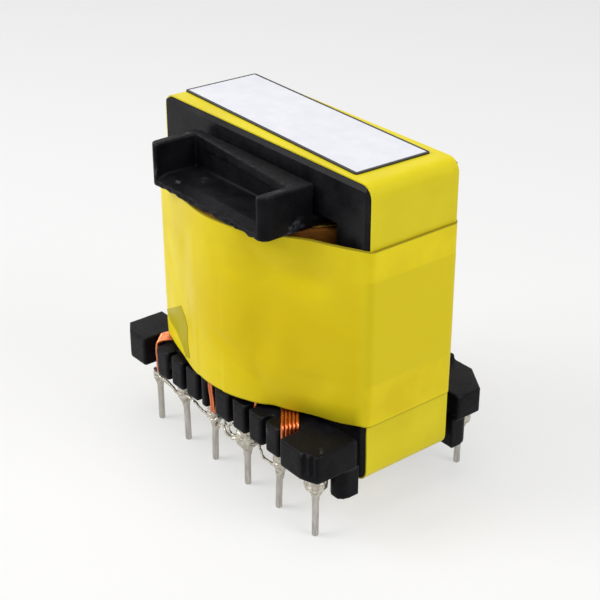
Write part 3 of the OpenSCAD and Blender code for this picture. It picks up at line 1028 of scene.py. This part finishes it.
select_none()
bpy.ops.mesh.primitive_plane_add(size=4, location=(0, 0, FLOOR_Z * MM))
floor = bpy.context.view_layer.objects.active
floor.name = "floor"

floor_material = bpy.data.materials.new("studio_floor")
floor_material.use_nodes = True
tree = floor_material.node_tree
tree.nodes.clear()
output = tree.nodes.new("ShaderNodeOutputMaterial")
blend = tree.nodes.new("ShaderNodeMixShader")
matt = tree.nodes.new("ShaderNodeBsdfDiffuse")
matt.inputs["Color"].default_value = FLOOR_COLOUR
glow = tree.nodes.new("ShaderNodeEmission")
glow.inputs["Strength"].default_value = 1.0
share = tree.nodes.new("ShaderNodeMath")
share.operation = "MULTIPLY"
share.inputs[1].default_value = GLOW_SHARE
tree.links.new(background_rays(tree), share.inputs[0])
tree.links.new(share.outputs[0], blend.inputs["Fac"])
tree.links.new(matt.outputs[0], blend.inputs[1])
tree.links.new(glow.outputs[0], blend.inputs[2])
tree.links.new(blend.outputs[0], output.inputs["Surface"])
floor.data.materials.append(floor_material)
print("floor at z =", FLOOR_Z)

# %% World
WORLD_LIGHT, WORLD_SEEN = 0.32, 1.0
world = bpy.data.worlds.new("studio_world")
bpy.context.scene.world = world
world.use_nodes = True
tree = world.node_tree
background = tree.nodes["Background"]
background.inputs["Color"].default_value = (1, 1, 1, 1)
level = tree.nodes.new("ShaderNodeMapRange")
level.inputs["To Min"].default_value = WORLD_LIGHT
level.inputs["To Max"].default_value = WORLD_SEEN
tree.links.new(background_rays(tree), level.inputs["Value"])
tree.links.new(level.outputs["Result"], background.inputs["Strength"])
print("world lights with", WORLD_LIGHT)

# %% [markdown]
# The camera looks from the front right and above, over a long lens. Angles run from the front
# towards the right, and distances are in millimetres.

# %% Camera
AZIMUTH, ELEVATION, ROLL = math.radians(51.279), math.radians(27.538), math.radians(-0.116)
DISTANCE = 133.424
TARGET = Vector((-0.413, -0.136, 11.3))


def direction(azimuth, elevation):
    """The unit vector from the part towards an azimuth and an elevation."""
    return Vector((math.sin(azimuth) * math.cos(elevation),
                   -math.cos(azimuth) * math.cos(elevation), math.sin(elevation)))


camera_data = bpy.data.cameras.new("camera")
camera_data.lens = 85.16
camera_data.sensor_width = 36
camera_data.clip_start = 0.001
camera_data.clip_end = 10
camera = bpy.data.objects.new("camera", camera_data)
bpy.context.collection.objects.link(camera)
camera.location = (TARGET + direction(AZIMUTH, ELEVATION) * DISTANCE) * MM
look = (-direction(AZIMUTH, ELEVATION)).to_track_quat("-Z", "Y")
camera.rotation_mode = "QUATERNION"
camera.rotation_quaternion = look
camera.rotation_mode = "XYZ"
camera.rotation_euler.rotate_axis("Z", ROLL)
bpy.context.scene.camera = camera
print("camera at", [round(v / MM, 1) for v in camera.location])


# %% Lamps
def lamp(name, azimuth, elevation, distance, size, power):
    """A soft round lamp that looks at the part. Its power is in watts."""
    data = bpy.data.lights.new(name, "AREA")
    data.shape = "DISK"
    data.size = size * MM
    data.energy = power
    thing = bpy.data.objects.new(name, data)
    bpy.context.collection.objects.link(thing)
    way = direction(math.radians(azimuth), math.radians(elevation))
    thing.location = (TARGET + way * distance) * MM
    thing.rotation_euler = (-way).to_track_quat("-Z", "Y").to_euler()


lamp("left_lamp", -35, 38, 260, 170, 0.42)
lamp("right_lamp", 108, 35, 280, 170, 0.30)
lamp("top_lamp", 20, 85, 260, 180, 0.22)

bpy.context.scene.view_settings.view_transform = "Standard"
print(len(bpy.data.lights), "lamps")
